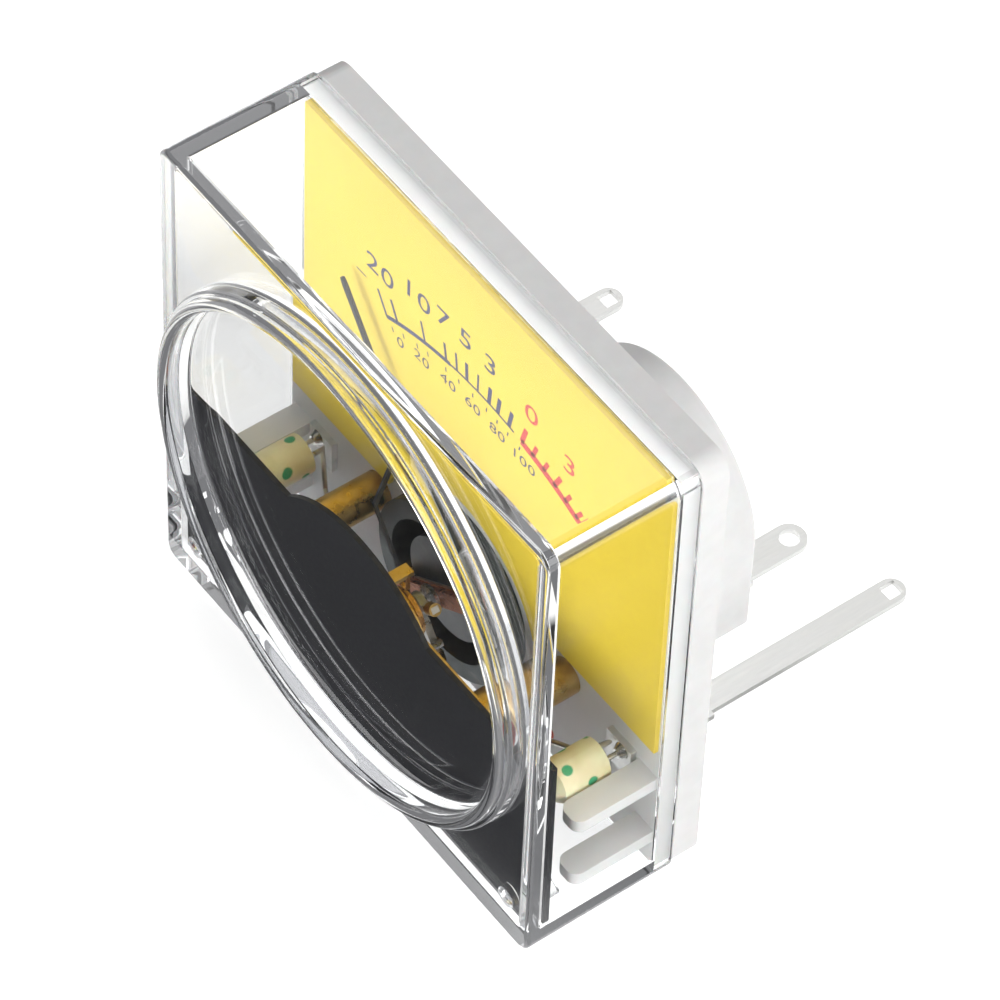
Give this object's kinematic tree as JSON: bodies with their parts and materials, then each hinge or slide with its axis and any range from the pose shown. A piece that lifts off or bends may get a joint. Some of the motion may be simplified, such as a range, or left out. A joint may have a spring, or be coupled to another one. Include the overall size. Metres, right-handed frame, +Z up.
{
  "type": "panel level meter",
  "caption": "Square clear-cased panel level meter with a round spigot, a yellow dial, a swinging pointer and solder lugs on a white base.",
  "frame": {"origin": "centre of the round spigot's root, on the front face of the case", "axes": "+X to the right seen from the front, +Y from front to back, +Z up the dial"},
  "size_m": [0.045, 0.0397, 0.045],
  "materials": {
    "clear_plastic": "polished clear polystyrene",
    "black_film": "matt black",
    "yellow_dial": "satin yellow print",
    "white_plastic": "moulded, semi-gloss",
    "tinned_lug": "tinned",
    "soft_iron": "blackened",
    "magnet_iron": "ground",
    "brass_part": "satin",
    "steel_part": "ground",
    "spring_bronze": "bright",
    "bare_aluminium": "satin",
    "enamelled_copper": "enamelled winding",
    "painted_pointer": "matt dark paint",
    "lamp_glass": "clear glass",
    "cream_cap": "soft translucent",
    "tinned_wire": "tinned",
    "solder": "bright",
    "red_insulation": "glossy sleeve"
  },
  "bodies": {
    "case": {"clear_cover": "clear_plastic", "black_mask": "black_film", "dial_plate": "yellow_dial", "base_plate": "white_plastic", "lamp_lug_left": "tinned_lug", "lamp_lug_right": "tinned_lug", "signal_lug_left": "tinned_lug", "signal_lug_right": "tinned_lug", "return_ring": "soft_iron", "core_magnet": "magnet_iron", "core_spacers": "brass_part", "front_bridge": "brass_part", "bridge_pillars": "brass_part", "bridge_screws": "steel_part", "front_jewel_screw": "brass_part", "rear_jewel_screw": "brass_part", "lock_nut": "brass_part", "rear_bridge": "brass_part", "rear_spring_post": "brass_part", "stop_pins": "steel_part", "rear_hairspring": "spring_bronze", "lamp_left": "lamp_glass", "lamp_right": "lamp_glass", "lamp_cap_left": "cream_cap", "lamp_cap_right": "cream_cap", "lamp_link_wire": "tinned_wire", "lamp_leads": "tinned_wire", "solder_joints": "solder", "red_sleeve_left": "red_insulation", "red_sleeve_right": "red_insulation"},
    "moving_coil": {"coil_former": "bare_aluminium", "coil_winding": "enamelled_copper", "front_pivot": "steel_part", "rear_pivot": "steel_part", "balance_cross": "bare_aluminium", "balance_weights": "brass_part", "pointer": "painted_pointer"},
    "zero_arm": {"zero_lever": "brass_part", "front_hairspring": "spring_bronze"}
  },
  "joints": [
    {"name": "pointer_swing", "type": "hinge", "parent": "case", "child": "moving_coil", "pos_m": [0, 0.007, -0.0104], "axis": [0, 1, 0], "range_deg": [0, 72], "stiffness_Nm_per_rad": 0.00002, "springref_deg": -17.19},
    {"name": "zero_setting", "type": "hinge", "parent": "case", "child": "zero_arm", "pos_m": [0, 0.007, -0.0104], "axis": [0, 1, 0], "range_deg": [-8, 8]}
  ]
}
